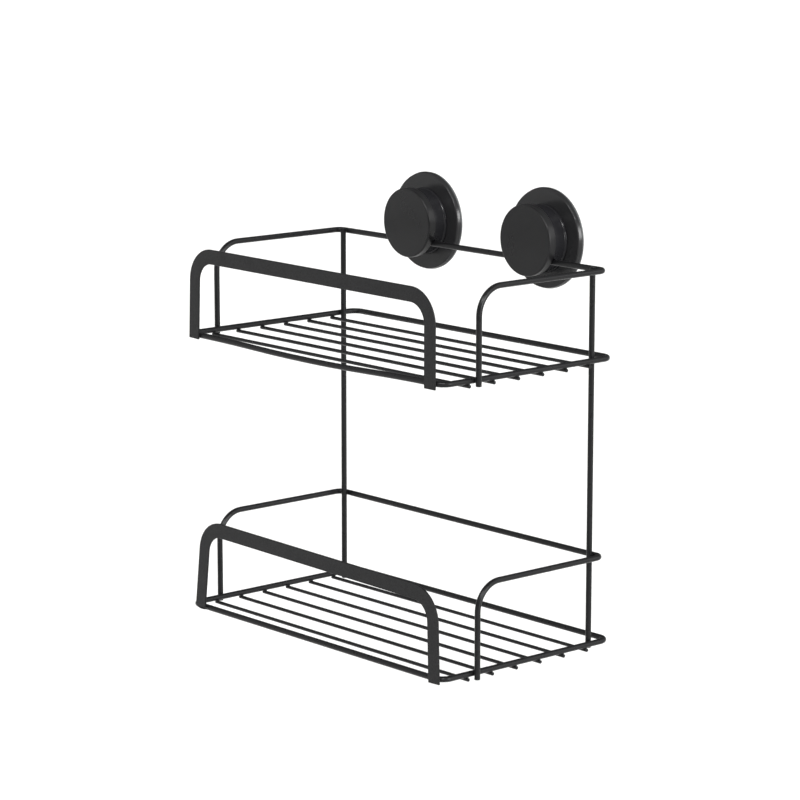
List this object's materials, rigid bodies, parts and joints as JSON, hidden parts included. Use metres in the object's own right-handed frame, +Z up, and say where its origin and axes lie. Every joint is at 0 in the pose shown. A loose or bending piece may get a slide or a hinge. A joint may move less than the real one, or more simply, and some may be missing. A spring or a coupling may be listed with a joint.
{
  "type": "shower caddy",
  "caption": "Two-tier black wire shower caddy with flat front guards, hung from screw-down suction cups.",
  "frame": {"origin": "on the wall plane, midway between the rack's sides, at the height of the suction cups' axes", "axes": "+Z up, +Y towards the wall, +X to the right as seen from the room"},
  "size_m": [0.2928, 0.1688, 0.3266],
  "materials": {
    "coated_wire": "matt black powder coat on steel wire",
    "guard_bar": "matt black powder coat on flat steel bar",
    "knob_plastic": "fine matt moulded ABS",
    "housing_plastic": "matt moulded ABS",
    "disc_plastic": "satin moulded ABS",
    "pad_rubber": "smooth soft TPU",
    "stud_plastic": "moulded nylon thread",
    "insert_brass": "turned brass",
    "washer_plastic": "natural acetal"
  },
  "bodies": {
    "root": {"upper_frame_loop": "coated_wire", "upper_top_rail": "coated_wire", "upper_front_guard": "guard_bar", "upper_floor_wire_1": "coated_wire", "upper_floor_wire_2": "coated_wire", "upper_floor_wire_3": "coated_wire", "upper_floor_wire_4": "coated_wire", "upper_floor_wire_5": "coated_wire", "upper_floor_wire_6": "coated_wire", "lower_frame_loop": "coated_wire", "lower_top_rail": "coated_wire", "lower_front_guard": "guard_bar", "lower_floor_wire_1": "coated_wire", "lower_floor_wire_2": "coated_wire", "lower_floor_wire_3": "coated_wire", "lower_floor_wire_4": "coated_wire", "lower_floor_wire_5": "coated_wire", "lower_floor_wire_6": "coated_wire", "left_post": "coated_wire", "right_post": "coated_wire"},
    "left_cup": {"left_housing": "housing_plastic", "left_backing_disc": "disc_plastic", "left_suction_membrane": "pad_rubber", "left_slip_washer": "washer_plastic"},
    "left_knob": {"left_lock_knob": "knob_plastic", "left_insert_nut": "insert_brass"},
    "left_stud": {"left_pull_stud": "stud_plastic"},
    "right_cup": {"right_housing": "housing_plastic", "right_backing_disc": "disc_plastic", "right_suction_membrane": "pad_rubber", "right_slip_washer": "washer_plastic"},
    "right_knob": {"right_lock_knob": "knob_plastic", "right_insert_nut": "insert_brass"},
    "right_stud": {"right_pull_stud": "stud_plastic"}
  },
  "joints": [
    {"name": "left_cup_slide", "type": "slide", "parent": "root", "child": "left_cup", "axis": [1, 0, 0], "range_m": [-0.045, 0.025]},
    {"name": "left_knob_turn", "type": "hinge", "parent": "left_cup", "child": "left_knob", "pos_m": [-0.0577, -0.02, 0], "axis": [0, -1, 0], "range_deg": [0, 360]},
    {"name": "left_stud_draw", "type": "slide", "parent": "left_cup", "child": "left_stud", "axis": [0, 1, 0], "range_m": [0, 0.003], "deforming": ["left_suction_membrane"]},
    {"name": "right_cup_slide", "type": "slide", "parent": "root", "child": "right_cup", "axis": [1, 0, 0], "range_m": [-0.025, 0.033]},
    {"name": "right_knob_turn", "type": "hinge", "parent": "right_cup", "child": "right_knob", "pos_m": [0.0706, -0.02, 0], "axis": [0, -1, 0], "range_deg": [0, 360]},
    {"name": "right_stud_draw", "type": "slide", "parent": "right_cup", "child": "right_stud", "axis": [0, 1, 0], "range_m": [0, 0.003], "deforming": ["right_suction_membrane"]}
  ],
  "couplings": [
    {"joint": "left_stud_draw", "follows": "left_knob_turn", "m_per_rad": 0.00047746},
    {"joint": "right_stud_draw", "follows": "right_knob_turn", "m_per_rad": 0.00047746}
  ]
}
